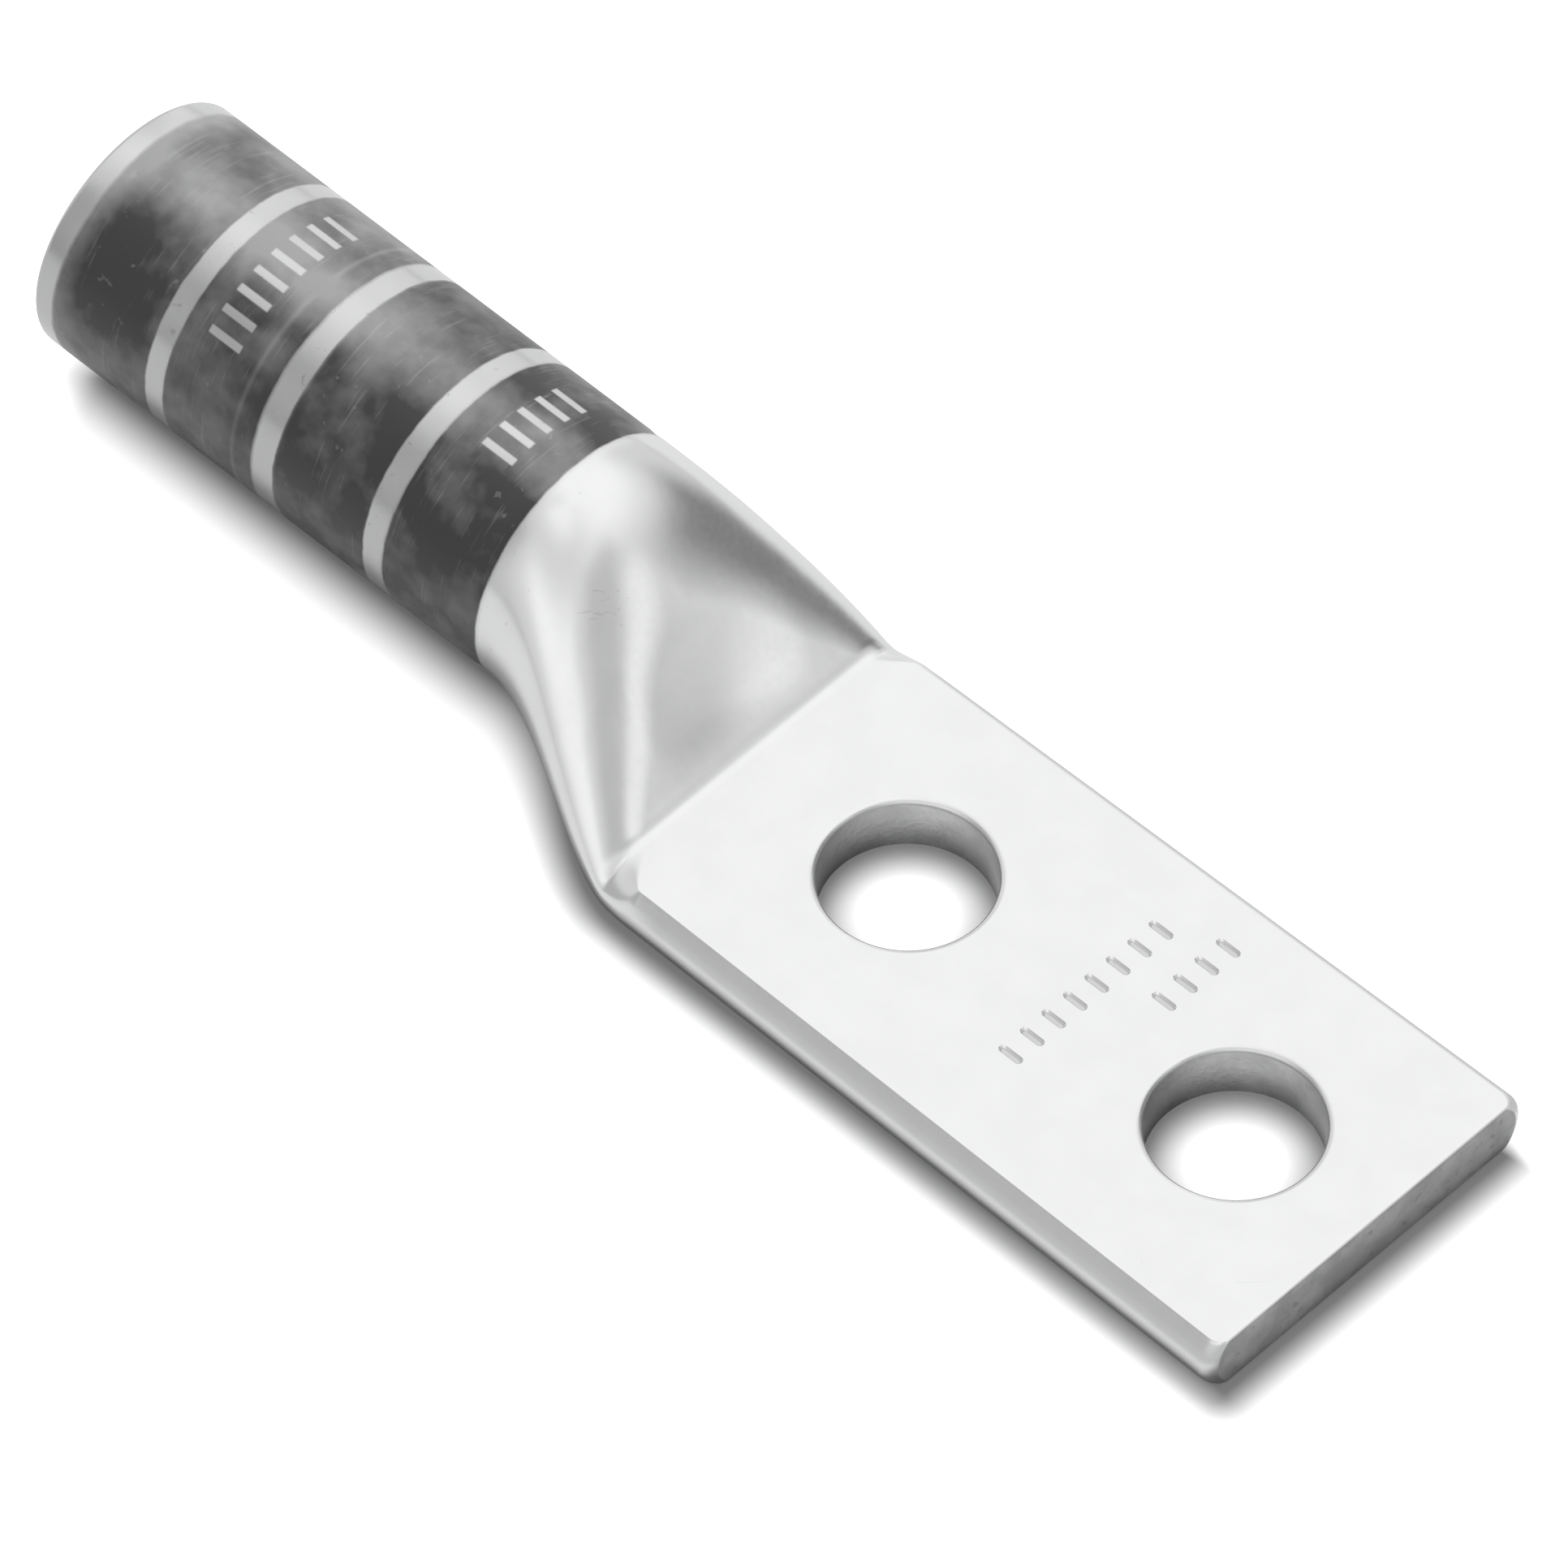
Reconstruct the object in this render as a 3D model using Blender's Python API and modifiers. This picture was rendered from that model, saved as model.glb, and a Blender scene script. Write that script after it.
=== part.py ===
"""Two-hole compression lug, pressed from one length of copper tube.

The round barrel takes the cable's wire. The rest of the tube is pressed flat into a tongue
with two stud holes. Everything is in metres.

+X runs from the barrel towards the tongue's free end, +Z is up, and the origin is on the
tongue's underside, midway between the two stud holes.
"""

import math

import bmesh
import bpy

MM = 0.001

# The tube
TUBE_DIAMETER = 16.5 * MM
TUBE_WALL = 1.9 * MM
END_CHAMFER = 0.3 * MM
MOUTH_CHAMFER = 0.5 * MM

# Lengths along the lug
BARREL_LENGTH = 35.2 * MM
TRANSITION_LENGTH = 13.4 * MM
BEND_TO_NEAR_HOLE = 12.6 * MM
FAR_HOLE_TO_END = 10.2 * MM

# The pressed tongue: its flat top widens a little towards the free end
TOP_WIDTH_AT_BEND = 22.6 * MM
TONGUE_WIDENING = 1.3 * MM
SIDE_BULGE = 0.95 * MM
UPPER_EDGE_RADIUS = 0.1 * MM
LOWER_EDGE_RADIUS = 0.6 * MM
BARREL_LIFT = 1.75 * MM
TOP_EDGE_RADIUS_AT_BEND = 1.2 * MM
TOP_EDGE_RUN = 3.5 * MM

# The stud holes
STUD_HOLE_SPACING = 25.4 * MM
STUD_HOLE_DIAMETER = 10.4 * MM
HOLE_EDGE_BREAK = 0.25 * MM

# The pressed form between barrel and tongue
SHOULDER_SHARE = 0.68
SIDE_RUN_OUT = 2.0 * MM
FACET_LENGTH = 5.8 * MM
FACET_WIDTH = 16.8 * MM
FACET_RUN_OUT = 2.6 * MM
DISH_LENGTH = 7.0 * MM
DISH_WIDTH = 12.6 * MM
DISH_DEPTH = 0.5 * MM
DISH_FADE = 2.0 * MM
SLIT_HEIGHT = 0.3 * MM
SLIT_BULGE = SLIT_HEIGHT / 4
SLIT_EDGE_RADIUS = SLIT_HEIGHT / 8

# How finely the round stretches are drawn
FLAT_STEPS = 11
CORNER_STEPS = 4
SIDE_STEPS = 6
TRANSITION_STEPS = 24
RUN_OUT_STEPS = 7
HOLE_STEPS = 64
CUTTER_OVERRUN = 1.0 * MM
MERGE_WITHIN = 0.01 * MM
SMOOTH_UP_TO = math.radians(30)

# The tin plating
TIN_COLOUR = (0.78, 0.78, 0.79, 1.0)
TIN_ROUGHNESS = 0.28

# What follows from the sizes above
TUBE_RADIUS = TUBE_DIAMETER / 2
BORE_RADIUS = TUBE_RADIUS - TUBE_WALL
STUD_HOLE_RADIUS = STUD_HOLE_DIAMETER / 2
TOP_WIDTH_AT_END = TOP_WIDTH_AT_BEND + TONGUE_WIDENING
TONGUE_THICKNESS = 2 * TUBE_WALL
MID_HEIGHT = TONGUE_THICKNESS / 2
AXIS_HEIGHT = BARREL_LIFT + TUBE_RADIUS
FAR_HOLE_X = STUD_HOLE_SPACING / 2
NEAR_HOLE_X = -FAR_HOLE_X
FREE_END_X = FAR_HOLE_X + FAR_HOLE_TO_END
BEND_X = NEAR_HOLE_X - BEND_TO_NEAR_HOLE
SHOULDER_X = BEND_X - TRANSITION_LENGTH
MOUTH_X = SHOULDER_X - BARREL_LENGTH

# The hollow's sloping roof lies one wall under the outer slope, so it ends short of the bend
OUTER_DROP = AXIS_HEIGHT + TUBE_RADIUS - TONGUE_THICKNESS
ROOF_END = TUBE_WALL + SLIT_HEIGHT
INNER_DROP = AXIS_HEIGHT + BORE_RADIUS - ROOF_END
SLOPE = math.atan(OUTER_DROP / (1 - SHOULDER_SHARE / 2) / TRANSITION_LENGTH)
SLIT_SETBACK = (TUBE_WALL / math.cos(SLOPE) - TONGUE_THICKNESS + ROOF_END) / math.tan(SLOPE)
SLIT_X = BEND_X - SLIT_SETBACK
ROOF_START_X = SLIT_X - TRANSITION_LENGTH * INNER_DROP / OUTER_DROP


def mix(start, end, share):
    return start + (end - start) * share


def share_between(start, end, x):
    """How far x is on its way from start to end, kept between 0 and 1."""
    return min(max((x - start) / (end - start), 0.0), 1.0)


def smooth(share):
    """Run from 0 to 1 with no slope at either end."""
    return share * share * (3 - 2 * share)


def shoulder_then_slope(share):
    """Run from 0 to 1: a rounded shoulder, then a straight slope that ends in a crease."""
    steepness = 1 / (1 - SHOULDER_SHARE / 2)
    if share < SHOULDER_SHARE:
        return steepness * share * share / (2 * SHOULDER_SHARE)
    return steepness * (share - SHOULDER_SHARE / 2)


class FlatQuarter:
    """A quarter of a fully pressed section: half its flat, one edge and a quarter of its sides."""

    def __init__(self, half_width, height, bulge, edge_radius):
        self.edge_radius = edge_radius
        self.side_radius = (height * height + bulge * bulge) / (2 * bulge)
        side_rise = (height - edge_radius) / (self.side_radius - edge_radius)
        self.side_turn = math.asin(side_rise)
        side_depth = self.side_radius * (1 - math.cos(self.side_turn))
        self.flat = half_width - side_depth - edge_radius * math.cos(self.side_turn)


def quarter_outline(radius, pressed_form, flat, pressed, half_width, height):
    """A quarter section between a round tube and its pressed form, as (y, z) points.

    It runs from the middle of the flat, at (0, height), out to the side, at (half_width, 0).
    Each point of the round section moves straight to the point of the pressed form that faces
    the same way. The flat has its own width, and the rounding is stretched to fill the rest.
    """
    edge_radius = mix(radius, pressed_form.edge_radius, pressed)
    side_radius = mix(radius, pressed_form.side_radius, pressed)
    edge_turn = math.pi / 2 - pressed_form.side_turn
    edge_length = edge_radius * edge_turn
    steps = FLAT_STEPS + CORNER_STEPS
    points = []
    for step in range(steps + 1):
        evenly = (flat + edge_length) * step / steps
        over_flat = flat * min(step, FLAT_STEPS) / FLAT_STEPS
        over_edge = edge_length * max(step - FLAT_STEPS, 0) / CORNER_STEPS
        along = mix(evenly, over_flat + over_edge, pressed)
        turn = max(along - flat, 0.0) / edge_radius
        out = edge_radius * math.sin(turn)
        down = edge_radius * (1 - math.cos(turn))
        points.append((min(along, flat), out, down))
    for step in range(1, SIDE_STEPS + 1):
        turn = mix(edge_turn, math.pi / 2, step / SIDE_STEPS)
        side_out = out + side_radius * (math.sin(turn) - math.sin(edge_turn))
        side_down = down + side_radius * (math.cos(edge_turn) - math.cos(turn))
        points.append((flat, side_out, side_down))
    stretch = (half_width - flat) / side_out
    squash = height / side_down
    return [(over + out * stretch, height - down * squash) for over, out, down in points]


def closed_ring(x, radius, top, bottom, reach, upper, lower):
    """A ring of points round the lug at x, between its top and bottom and out to its reach.

    Upper and lower are each a pressed form, its flat's half width here, and how far pressed.
    """
    height = (top - bottom) / 2
    middle = bottom + height
    above = quarter_outline(radius, *upper, reach, height)
    below = quarter_outline(radius, *lower, reach, height)
    right = [(y, middle + z) for y, z in above]
    right += [(y, middle - z) for y, z in reversed(below[:-1])]
    left = [(-y, z) for y, z in reversed(right[1:-1])]
    return [(x, y, z) for y, z in right + left]


def skin(name, rings, collection):
    """A closed body drawn over a row of rings that all have the same number of points."""
    body = bmesh.new()
    rows = [[body.verts.new(point) for point in ring] for ring in rings]
    count = len(rows[0])
    for row, next_row in zip(rows, rows[1:]):
        for index in range(count):
            following = (index + 1) % count
            body.faces.new((row[index], row[following], next_row[following], next_row[index]))
    body.faces.new(rows[0])
    body.faces.new(rows[-1])
    bmesh.ops.recalc_face_normals(body, faces=body.faces)
    mesh = bpy.data.meshes.new(name)
    body.to_mesh(mesh)
    body.free()
    mesh.shade_smooth()
    skinned = bpy.data.objects.new(name, mesh)
    collection.objects.link(skinned)
    return skinned


def half_width(x):
    """Half the tongue's full width at x. It widens a little towards the free end."""
    top_width = mix(TOP_WIDTH_AT_BEND, TOP_WIDTH_AT_END, share_between(BEND_X, FREE_END_X, x))
    return top_width / 2 + SIDE_BULGE


def outer_reach(x, radius):
    """How far the lug's side stands out at x, from the round barrel to the tongue."""
    spread = smooth(share_between(SHOULDER_X, BEND_X + SIDE_RUN_OUT, x))
    return mix(radius, half_width(x), spread)


def facet_half_width(x, top_form):
    """The sloping facet's half width: a triangle that runs out into the tongue's flat top."""
    facet = FACET_WIDTH / 2 * share_between(BEND_X - FACET_LENGTH, BEND_X, x)
    return mix(facet, top_form.flat, smooth(share_between(BEND_X, BEND_X + FACET_RUN_OUT, x)))


def outer_ring(x, radius=TUBE_RADIUS):
    """The lug's outer skin at x. The radius is less than the tube's only in its end chamfer."""
    sloped = shoulder_then_slope(share_between(SHOULDER_X, BEND_X, x))
    sunk = smooth(share_between(SHOULDER_X, BEND_X, x))
    sharpened = smooth(share_between(BEND_X, BEND_X + TOP_EDGE_RUN, x))
    upper_edge_radius = mix(TOP_EDGE_RADIUS_AT_BEND, UPPER_EDGE_RADIUS, sharpened)
    upper_form = FlatQuarter(half_width(x), MID_HEIGHT, SIDE_BULGE, upper_edge_radius)
    lower_form = FlatQuarter(half_width(x), MID_HEIGHT, SIDE_BULGE, LOWER_EDGE_RADIUS)
    top = mix(AXIS_HEIGHT + radius, TONGUE_THICKNESS, sloped)
    bottom = mix(AXIS_HEIGHT - radius, 0.0, sunk)
    reach = outer_reach(x, radius)
    upper = (upper_form, facet_half_width(x, upper_form), sloped)
    lower = (lower_form, lower_form.flat * sunk, sunk)
    ring = closed_ring(x, radius, top, bottom, reach, upper, lower)
    return [dished(point, top) for point in ring]


def dished(point, top):
    """Sink a point of the sloping face into its shallow dish, which ends at the bend."""
    x, y, z = point
    across = abs(y) / (DISH_WIDTH / 2)
    if z < (top + MID_HEIGHT) / 2 or across >= 1:
        return point
    deepening = smooth(share_between(BEND_X - DISH_LENGTH, BEND_X - DISH_FADE, x))
    fading = smooth(share_between(BEND_X, BEND_X - DISH_FADE, x))
    return (x, y, z - DISH_DEPTH * deepening * fading * (1 - across * across) ** 2)


def inner_ring(x, radius=BORE_RADIUS):
    """The hollow's skin at x: the round bore, then a wedge one wall inside the outer skin."""
    sloped = shoulder_then_slope(share_between(ROOF_START_X, SLIT_X, x))
    sunk = smooth(share_between(SHOULDER_X, BEND_X, x))
    reach = outer_reach(x, radius + TUBE_WALL) - TUBE_WALL
    form = FlatQuarter(reach, SLIT_HEIGHT / 2, SLIT_BULGE, SLIT_EDGE_RADIUS)
    top = mix(AXIS_HEIGHT + radius, ROOF_END, sloped)
    bottom = mix(AXIS_HEIGHT - radius, TUBE_WALL, sunk)
    upper = (form, form.flat * sloped, sloped)
    lower = (form, form.flat * sunk, sunk)
    return closed_ring(x, radius, top, bottom, reach, upper, lower)


def make_tube(collection):
    """The whole outer form: chamfered barrel, transition and tongue."""
    rings = [
        outer_ring(MOUTH_X, TUBE_RADIUS - END_CHAMFER),
        outer_ring(MOUTH_X + END_CHAMFER),
    ]
    for step in range(TRANSITION_STEPS):
        rings.append(outer_ring(mix(SHOULDER_X, BEND_X, step / TRANSITION_STEPS)))
    run_end = BEND_X + max(SIDE_RUN_OUT, TOP_EDGE_RUN)
    for step in range(RUN_OUT_STEPS + 1):
        rings.append(outer_ring(mix(BEND_X, run_end, step / RUN_OUT_STEPS)))
    rings.append(outer_ring(FREE_END_X))
    return skin("lug", rings, collection)


def make_bore(collection):
    """The hollow as a cutter: a chamfered mouth, the wire bore, and a wedge that ends as a slit."""
    rings = [
        inner_ring(MOUTH_X - CUTTER_OVERRUN, BORE_RADIUS + MOUTH_CHAMFER + CUTTER_OVERRUN),
        inner_ring(MOUTH_X + MOUTH_CHAMFER),
    ]
    for step in range(TRANSITION_STEPS + 1):
        rings.append(inner_ring(mix(ROOF_START_X, SLIT_X, step / TRANSITION_STEPS)))
    return skin("bore_cutter", rings, collection)


def make_stud_hole(name, x, collection):
    """A turned cutter for one stud hole, opening at 45 degrees to break both edges."""
    wide = STUD_HOLE_RADIUS + HOLE_EDGE_BREAK + CUTTER_OVERRUN
    over = TONGUE_THICKNESS + CUTTER_OVERRUN
    profile = [
        (0.0, over),
        (wide, over),
        (STUD_HOLE_RADIUS, TONGUE_THICKNESS - HOLE_EDGE_BREAK),
        (STUD_HOLE_RADIUS, HOLE_EDGE_BREAK),
        (wide, -CUTTER_OVERRUN),
        (0.0, -CUTTER_OVERRUN),
    ]
    corners = [(radius, 0.0, z) for radius, z in profile]
    edges = [(index, index + 1) for index in range(len(profile) - 1)]
    mesh = bpy.data.meshes.new(name)
    mesh.from_pydata(corners, edges, [])
    cutter = bpy.data.objects.new(name, mesh)
    cutter.location.x = x
    collection.objects.link(cutter)
    turn = cutter.modifiers.new("turn", "SCREW")
    turn.axis = "Z"
    turn.angle = math.tau
    turn.steps = HOLE_STEPS
    turn.render_steps = HOLE_STEPS
    turn.use_merge_vertices = True
    turn.merge_threshold = MERGE_WITHIN
    turn.use_smooth_shade = True
    return cutter


def cut_away(part, cutters):
    """Cut each cutter out of the part and keep the result as the part's own mesh."""
    for cutter in cutters:
        cutter.hide_render = True
        cutter.display_type = "WIRE"
        cut = part.modifiers.new(cutter.name, "BOOLEAN")
        cut.operation = "DIFFERENCE"
        cut.solver = "EXACT"
        cut.object = cutter
    bpy.context.view_layer.update()
    evaluated = part.evaluated_get(bpy.context.evaluated_depsgraph_get())
    finished = bpy.data.meshes.new_from_object(evaluated)
    part.modifiers.clear()
    part.data = finished
    finished.name = part.name
    finished.shade_smooth()
    finished.set_sharp_from_angle(angle=SMOOTH_UP_TO)


def tinned_copper():
    """Bright tin plating: a pale, slightly satin metal."""
    material = bpy.data.materials.new("tinned_copper")
    material.use_nodes = True
    surface = material.node_tree.nodes["Principled BSDF"]
    surface.inputs["Base Color"].default_value = TIN_COLOUR
    surface.inputs["Metallic"].default_value = 1.0
    surface.inputs["Roughness"].default_value = TIN_ROUGHNESS
    return material


def new_collection(name):
    collection = bpy.data.collections.new(name)
    bpy.context.scene.collection.children.link(collection)
    return collection


def main():
    for leftover in list(bpy.data.objects):
        bpy.data.objects.remove(leftover)
    parts = new_collection("two_hole_compression_lug")
    cutters = new_collection("cutters")
    lug = make_tube(parts)
    bore = make_bore(cutters)
    near_hole = make_stud_hole("near_hole_cutter", NEAR_HOLE_X, cutters)
    far_hole = make_stud_hole("far_hole_cutter", FAR_HOLE_X, cutters)
    cut_away(lug, [bore, near_hole, far_hole])
    lug.data.materials.clear()
    lug.data.materials.append(tinned_copper())


main()
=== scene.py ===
# %% [markdown]
# # A two-hole compression lug
#
# A lug joins a thick cable to a busbar or a frame. The bare wire goes into the round barrel,
# which is then crimped, and two bolts hold the flat tongue. The real one is a single length of
# copper tube, plated with tin. Here we turn a tube, press it flat in code, punch its two holes,
# and give it its tin and its ink.

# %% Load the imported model
import math

import bmesh
import bpy
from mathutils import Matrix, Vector


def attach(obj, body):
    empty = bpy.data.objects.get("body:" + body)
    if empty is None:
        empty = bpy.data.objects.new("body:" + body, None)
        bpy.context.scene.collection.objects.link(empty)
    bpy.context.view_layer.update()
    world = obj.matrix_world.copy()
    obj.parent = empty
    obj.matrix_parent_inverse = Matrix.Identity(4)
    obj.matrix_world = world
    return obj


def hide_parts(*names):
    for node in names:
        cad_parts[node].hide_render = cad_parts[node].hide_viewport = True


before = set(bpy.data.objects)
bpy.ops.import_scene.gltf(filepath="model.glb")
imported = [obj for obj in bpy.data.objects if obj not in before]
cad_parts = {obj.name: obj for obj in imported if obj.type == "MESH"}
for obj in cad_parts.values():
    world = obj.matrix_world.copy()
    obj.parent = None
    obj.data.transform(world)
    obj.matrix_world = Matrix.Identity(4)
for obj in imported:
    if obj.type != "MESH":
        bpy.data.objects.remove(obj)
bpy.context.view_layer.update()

MM = 0.001
print("packed nodes:", sorted(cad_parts))

# %% [markdown]
# ## The sizes
#
# The lug lies along X, its free end towards +X, and Z is up. The origin is on the tongue's
# underside, midway between the two holes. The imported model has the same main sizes, so this
# finer lug lies exactly where that one does. Only the small rounds beside the bend are a little
# tighter here.

# %% Sizes of the tube and the tongue
TUBE_RADIUS = 8.25 * MM
TUBE_WALL = 1.9 * MM
BORE_RADIUS = TUBE_RADIUS - TUBE_WALL
AXIS_HEIGHT = 10.0 * MM
TONGUE_THICKNESS = 2 * TUBE_WALL
MID_HEIGHT = TONGUE_THICKNESS / 2

MOUTH_X = -73.9 * MM
SHOULDER_X = -38.7 * MM
BEND_X = -25.3 * MM
FREE_END_X = 22.9 * MM
STUD_HOLES_X = (-12.7 * MM, 12.7 * MM)
STUD_HOLE_RADIUS = 5.2 * MM

TOP_WIDTH_AT_BEND = 22.6 * MM
TOP_WIDTH_AT_END = 23.9 * MM
SIDE_BULGE = 0.95 * MM
UPPER_EDGE_RADIUS = 0.1 * MM
LOWER_EDGE_RADIUS = 0.6 * MM
TOP_EDGE_RADIUS_AT_BEND = 0.9 * MM
TOP_EDGE_RUN = 3.1 * MM
SIDE_RUN_OUT = 2.0 * MM
SHOULDER_SHARE = 0.68
FACET_LENGTH = 5.8 * MM
FACET_WIDTH = 16.8 * MM
FACET_RUN_OUT = 2.7 * MM
DISH_LENGTH = 7.0 * MM
DISH_WIDTH = 12.6 * MM
DISH_DEPTH = 0.5 * MM
DISH_FADE = 2.0 * MM
SLIT_HEIGHT = 0.3 * MM

# %% Where the hollow's roof comes down
OUTER_DROP = AXIS_HEIGHT + TUBE_RADIUS - TONGUE_THICKNESS
ROOF_END = TUBE_WALL + SLIT_HEIGHT
INNER_DROP = AXIS_HEIGHT + BORE_RADIUS - ROOF_END
TRANSITION_LENGTH = BEND_X - SHOULDER_X
SLOPE = math.atan(OUTER_DROP / (1 - SHOULDER_SHARE / 2) / TRANSITION_LENGTH)
SLIT_SETBACK = (TUBE_WALL / math.cos(SLOPE) - TONGUE_THICKNESS + ROOF_END) / math.tan(SLOPE)
SLIT_X = BEND_X - SLIT_SETBACK
ROOF_START_X = SLIT_X - TRANSITION_LENGTH * INNER_DROP / OUTER_DROP
print("the slope stands at", round(math.degrees(SLOPE), 1), "degrees")

# %% [markdown]
# ## Turn the tube
#
# Every point of the finished lug has its place on the round tube that it was pressed from. So
# we first draw half of the tube's wall as a line of points and spin it once round the axis.
# The line starts at the free end, runs back over the outside, goes round the barrel's smooth
# rim and returns along the bore. One spin gives both skins, and they are closed from the start.

# %% Draw the wall's profile
RIM_OUTER_ROUND = 0.35 * MM
RIM_INNER_ROUND = 0.55 * MM
END_ROUND = 0.9 * MM
END_ROUND_STEPS = 10
END_ROUND_ANGLE = math.pi / 2 / END_ROUND_STEPS
ROUND_STEPS = 5
ROUND_STEP_ANGLE = math.pi / 2 / ROUND_STEPS
TONGUE_RINGS = 44
RUN_RINGS = 36
TRANSITION_RINGS = 76
BARREL_RINGS = 30
BORE_RINGS = 20
HOLLOW_RINGS = 48


def between(start, end, steps):
    """Evenly spaced numbers from start to end, both ends among them."""
    return [start + (end - start) * step / steps for step in range(steps + 1)]


def wall_profile():
    """Points (x, distance from the axis) along the wall, from the free end round to the slit."""
    run_end = BEND_X + TOP_EDGE_RUN
    outside = [FREE_END_X - END_ROUND * (1 - math.cos(step * END_ROUND_ANGLE))
               for step in range(END_ROUND_STEPS)]
    outside += between(FREE_END_X - END_ROUND, run_end, TONGUE_RINGS)
    outside += between(run_end, BEND_X, RUN_RINGS)[1:]
    outside += between(BEND_X, SHOULDER_X, TRANSITION_RINGS)[1:]
    outside += between(SHOULDER_X, MOUTH_X + RIM_OUTER_ROUND, BARREL_RINGS)[1:]
    points = [(FREE_END_X, 0.0)] + [(x, TUBE_RADIUS) for x in outside]
    for step in range(1, ROUND_STEPS + 1):
        turn = step * ROUND_STEP_ANGLE
        points.append((MOUTH_X + RIM_OUTER_ROUND * (1 - math.sin(turn)),
                       TUBE_RADIUS - RIM_OUTER_ROUND * (1 - math.cos(turn))))
    for step in range(ROUND_STEPS + 1):
        turn = step * ROUND_STEP_ANGLE
        points.append((MOUTH_X + RIM_INNER_ROUND * (1 - math.cos(turn)),
                       BORE_RADIUS + RIM_INNER_ROUND * (1 - math.sin(turn))))
    inside = between(MOUTH_X + RIM_INNER_ROUND, ROOF_START_X, BORE_RINGS)[1:]
    inside += between(ROOF_START_X, SLIT_X, HOLLOW_RINGS)[1:]
    return points + [(x, BORE_RADIUS) for x in inside] + [(SLIT_X, 0.0)]


profile = wall_profile()
print("the profile has", len(profile), "points")

# %% Spin it into a tube
TURN_STEPS = 264
MERGE_WITHIN = 0.001 * MM


def turned(line, axis):
    """Spin a line of (along, across) points once round an axis into a closed mesh in a bmesh."""
    body = bmesh.new()
    if axis == "X":
        corners = [body.verts.new((along, 0.0, across)) for along, across in line]
        direction = (1, 0, 0)
    else:
        corners = [body.verts.new((across, 0.0, along)) for along, across in line]
        direction = (0, 0, 1)
    for start, end in zip(corners, corners[1:]):
        body.edges.new((start, end))
    bmesh.ops.spin(body, geom=body.verts[:] + body.edges[:], cent=(0, 0, 0), axis=direction,
                   angle=math.tau, steps=TURN_STEPS, use_merge=True)
    bmesh.ops.remove_doubles(body, verts=body.verts[:], dist=MERGE_WITHIN)
    bmesh.ops.recalc_face_normals(body, faces=body.faces[:])
    return body


tube = turned(profile, "X")
print("the turned tube has", len(tube.faces), "faces")

# %% [markdown]
# ## Press it flat
#
# A die closes the tube from above. Each point of the round section moves straight to the point
# of the flat section that faces the same way. So a flat facet grows out of the tube's highest
# line as a triangle, and the metal beside it closes in as a cone towards the facet's corner.
# Along the lug, the top goes over a rounded shoulder, down a straight slope, and stops in a
# crease. The sides and the underside follow a gentle S.

# %% How far the press has gone at each place
CREASE_ROUND = 0.5 * MM


def mix(start, end, share):
    return start + (end - start) * share


def share_between(start, end, x):
    return min(max((x - start) / (end - start), 0.0), 1.0)


def smooth(share):
    return share * share * (3 - 2 * share)


def shoulder_then_slope(share, shoulder):
    """From 0 to 1: a rounded shoulder, then a straight slope."""
    steepness = 1 / (1 - shoulder / 2)
    if share < shoulder:
        return steepness * share * share / (2 * shoulder)
    return steepness * (share - shoulder / 2)


def creased_top(x):
    """The lug's top line: the slope meets the flat tongue in a small soft crease."""
    sloped = shoulder_then_slope(share_between(SHOULDER_X, BEND_X, x), SHOULDER_SHARE)
    top = mix(AXIS_HEIGHT + TUBE_RADIUS, TONGUE_THICKNESS, sloped)
    past = x - (BEND_X - CREASE_ROUND)
    if 0 < past < 2 * CREASE_ROUND:
        left = 2 * CREASE_ROUND - past
        top = TONGUE_THICKNESS + math.tan(SLOPE) * left * left / (4 * CREASE_ROUND)
    return top


halfway_down = creased_top((SHOULDER_X + BEND_X) / 2)
print("halfway down the slope, the top is", round(halfway_down / MM, 2), "mm high")

# %% [markdown]
# ## From circle to flat section
#
# A quarter of a section is a flat, then a tight edge, then half of the bulging side. For the
# round tube, the flat has no width and both arcs are the circle's own. Blending the two radii
# and the flat gives every section in between, so no point ever has to look for its place. Two
# shares deal out a quarter's points: some to the flat and its edge, and of those some to the flat.

# %% The pressed section and all that lies between it and the circle
EDGE_SHARE = 0.7
FLAT_SHARE = 0.62


class PressedEdge:
    """The edge and half the bulging side that end a fully pressed section."""

    def __init__(self, height, bulge, edge_radius):
        self.edge_radius = edge_radius
        self.side_radius = (height * height + bulge * bulge) / (2 * bulge)
        rise = (height - edge_radius) / (self.side_radius - edge_radius)
        self.edge_turn = math.acos(rise)
        self.width = edge_width(edge_radius, self.side_radius, self.edge_turn)


def edge_width(edge_radius, side_radius, edge_turn):
    return edge_radius * math.sin(edge_turn) + side_radius * (1 - math.sin(edge_turn))


def quarter_point(share, radius, flat, edge, pressed):
    """A point (out, down) of a quarter section; share runs from the top's middle to the side."""
    edge_radius = mix(radius, edge.edge_radius, pressed)
    side_radius = mix(radius, edge.side_radius, pressed)
    edge_length = edge_radius * edge.edge_turn
    on_edge = min(share / EDGE_SHARE, 1.0)
    evenly = (flat + edge_length) * on_edge
    in_order = flat * min(on_edge / FLAT_SHARE, 1.0)
    in_order += edge_length * max(on_edge - FLAT_SHARE, 0.0) / (1 - FLAT_SHARE)
    along = mix(evenly, in_order, pressed)
    turn = max(along - flat, 0.0) / edge_radius
    out = edge_radius * math.sin(turn)
    down = edge_radius * (1 - math.cos(turn))
    if share > EDGE_SHARE:
        turn = mix(edge.edge_turn, math.pi / 2, (share - EDGE_SHARE) / (1 - EDGE_SHARE))
        out += side_radius * (math.sin(turn) - math.sin(edge.edge_turn))
        down += side_radius * (math.cos(edge.edge_turn) - math.cos(turn))
    return min(along, flat), out, down


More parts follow.
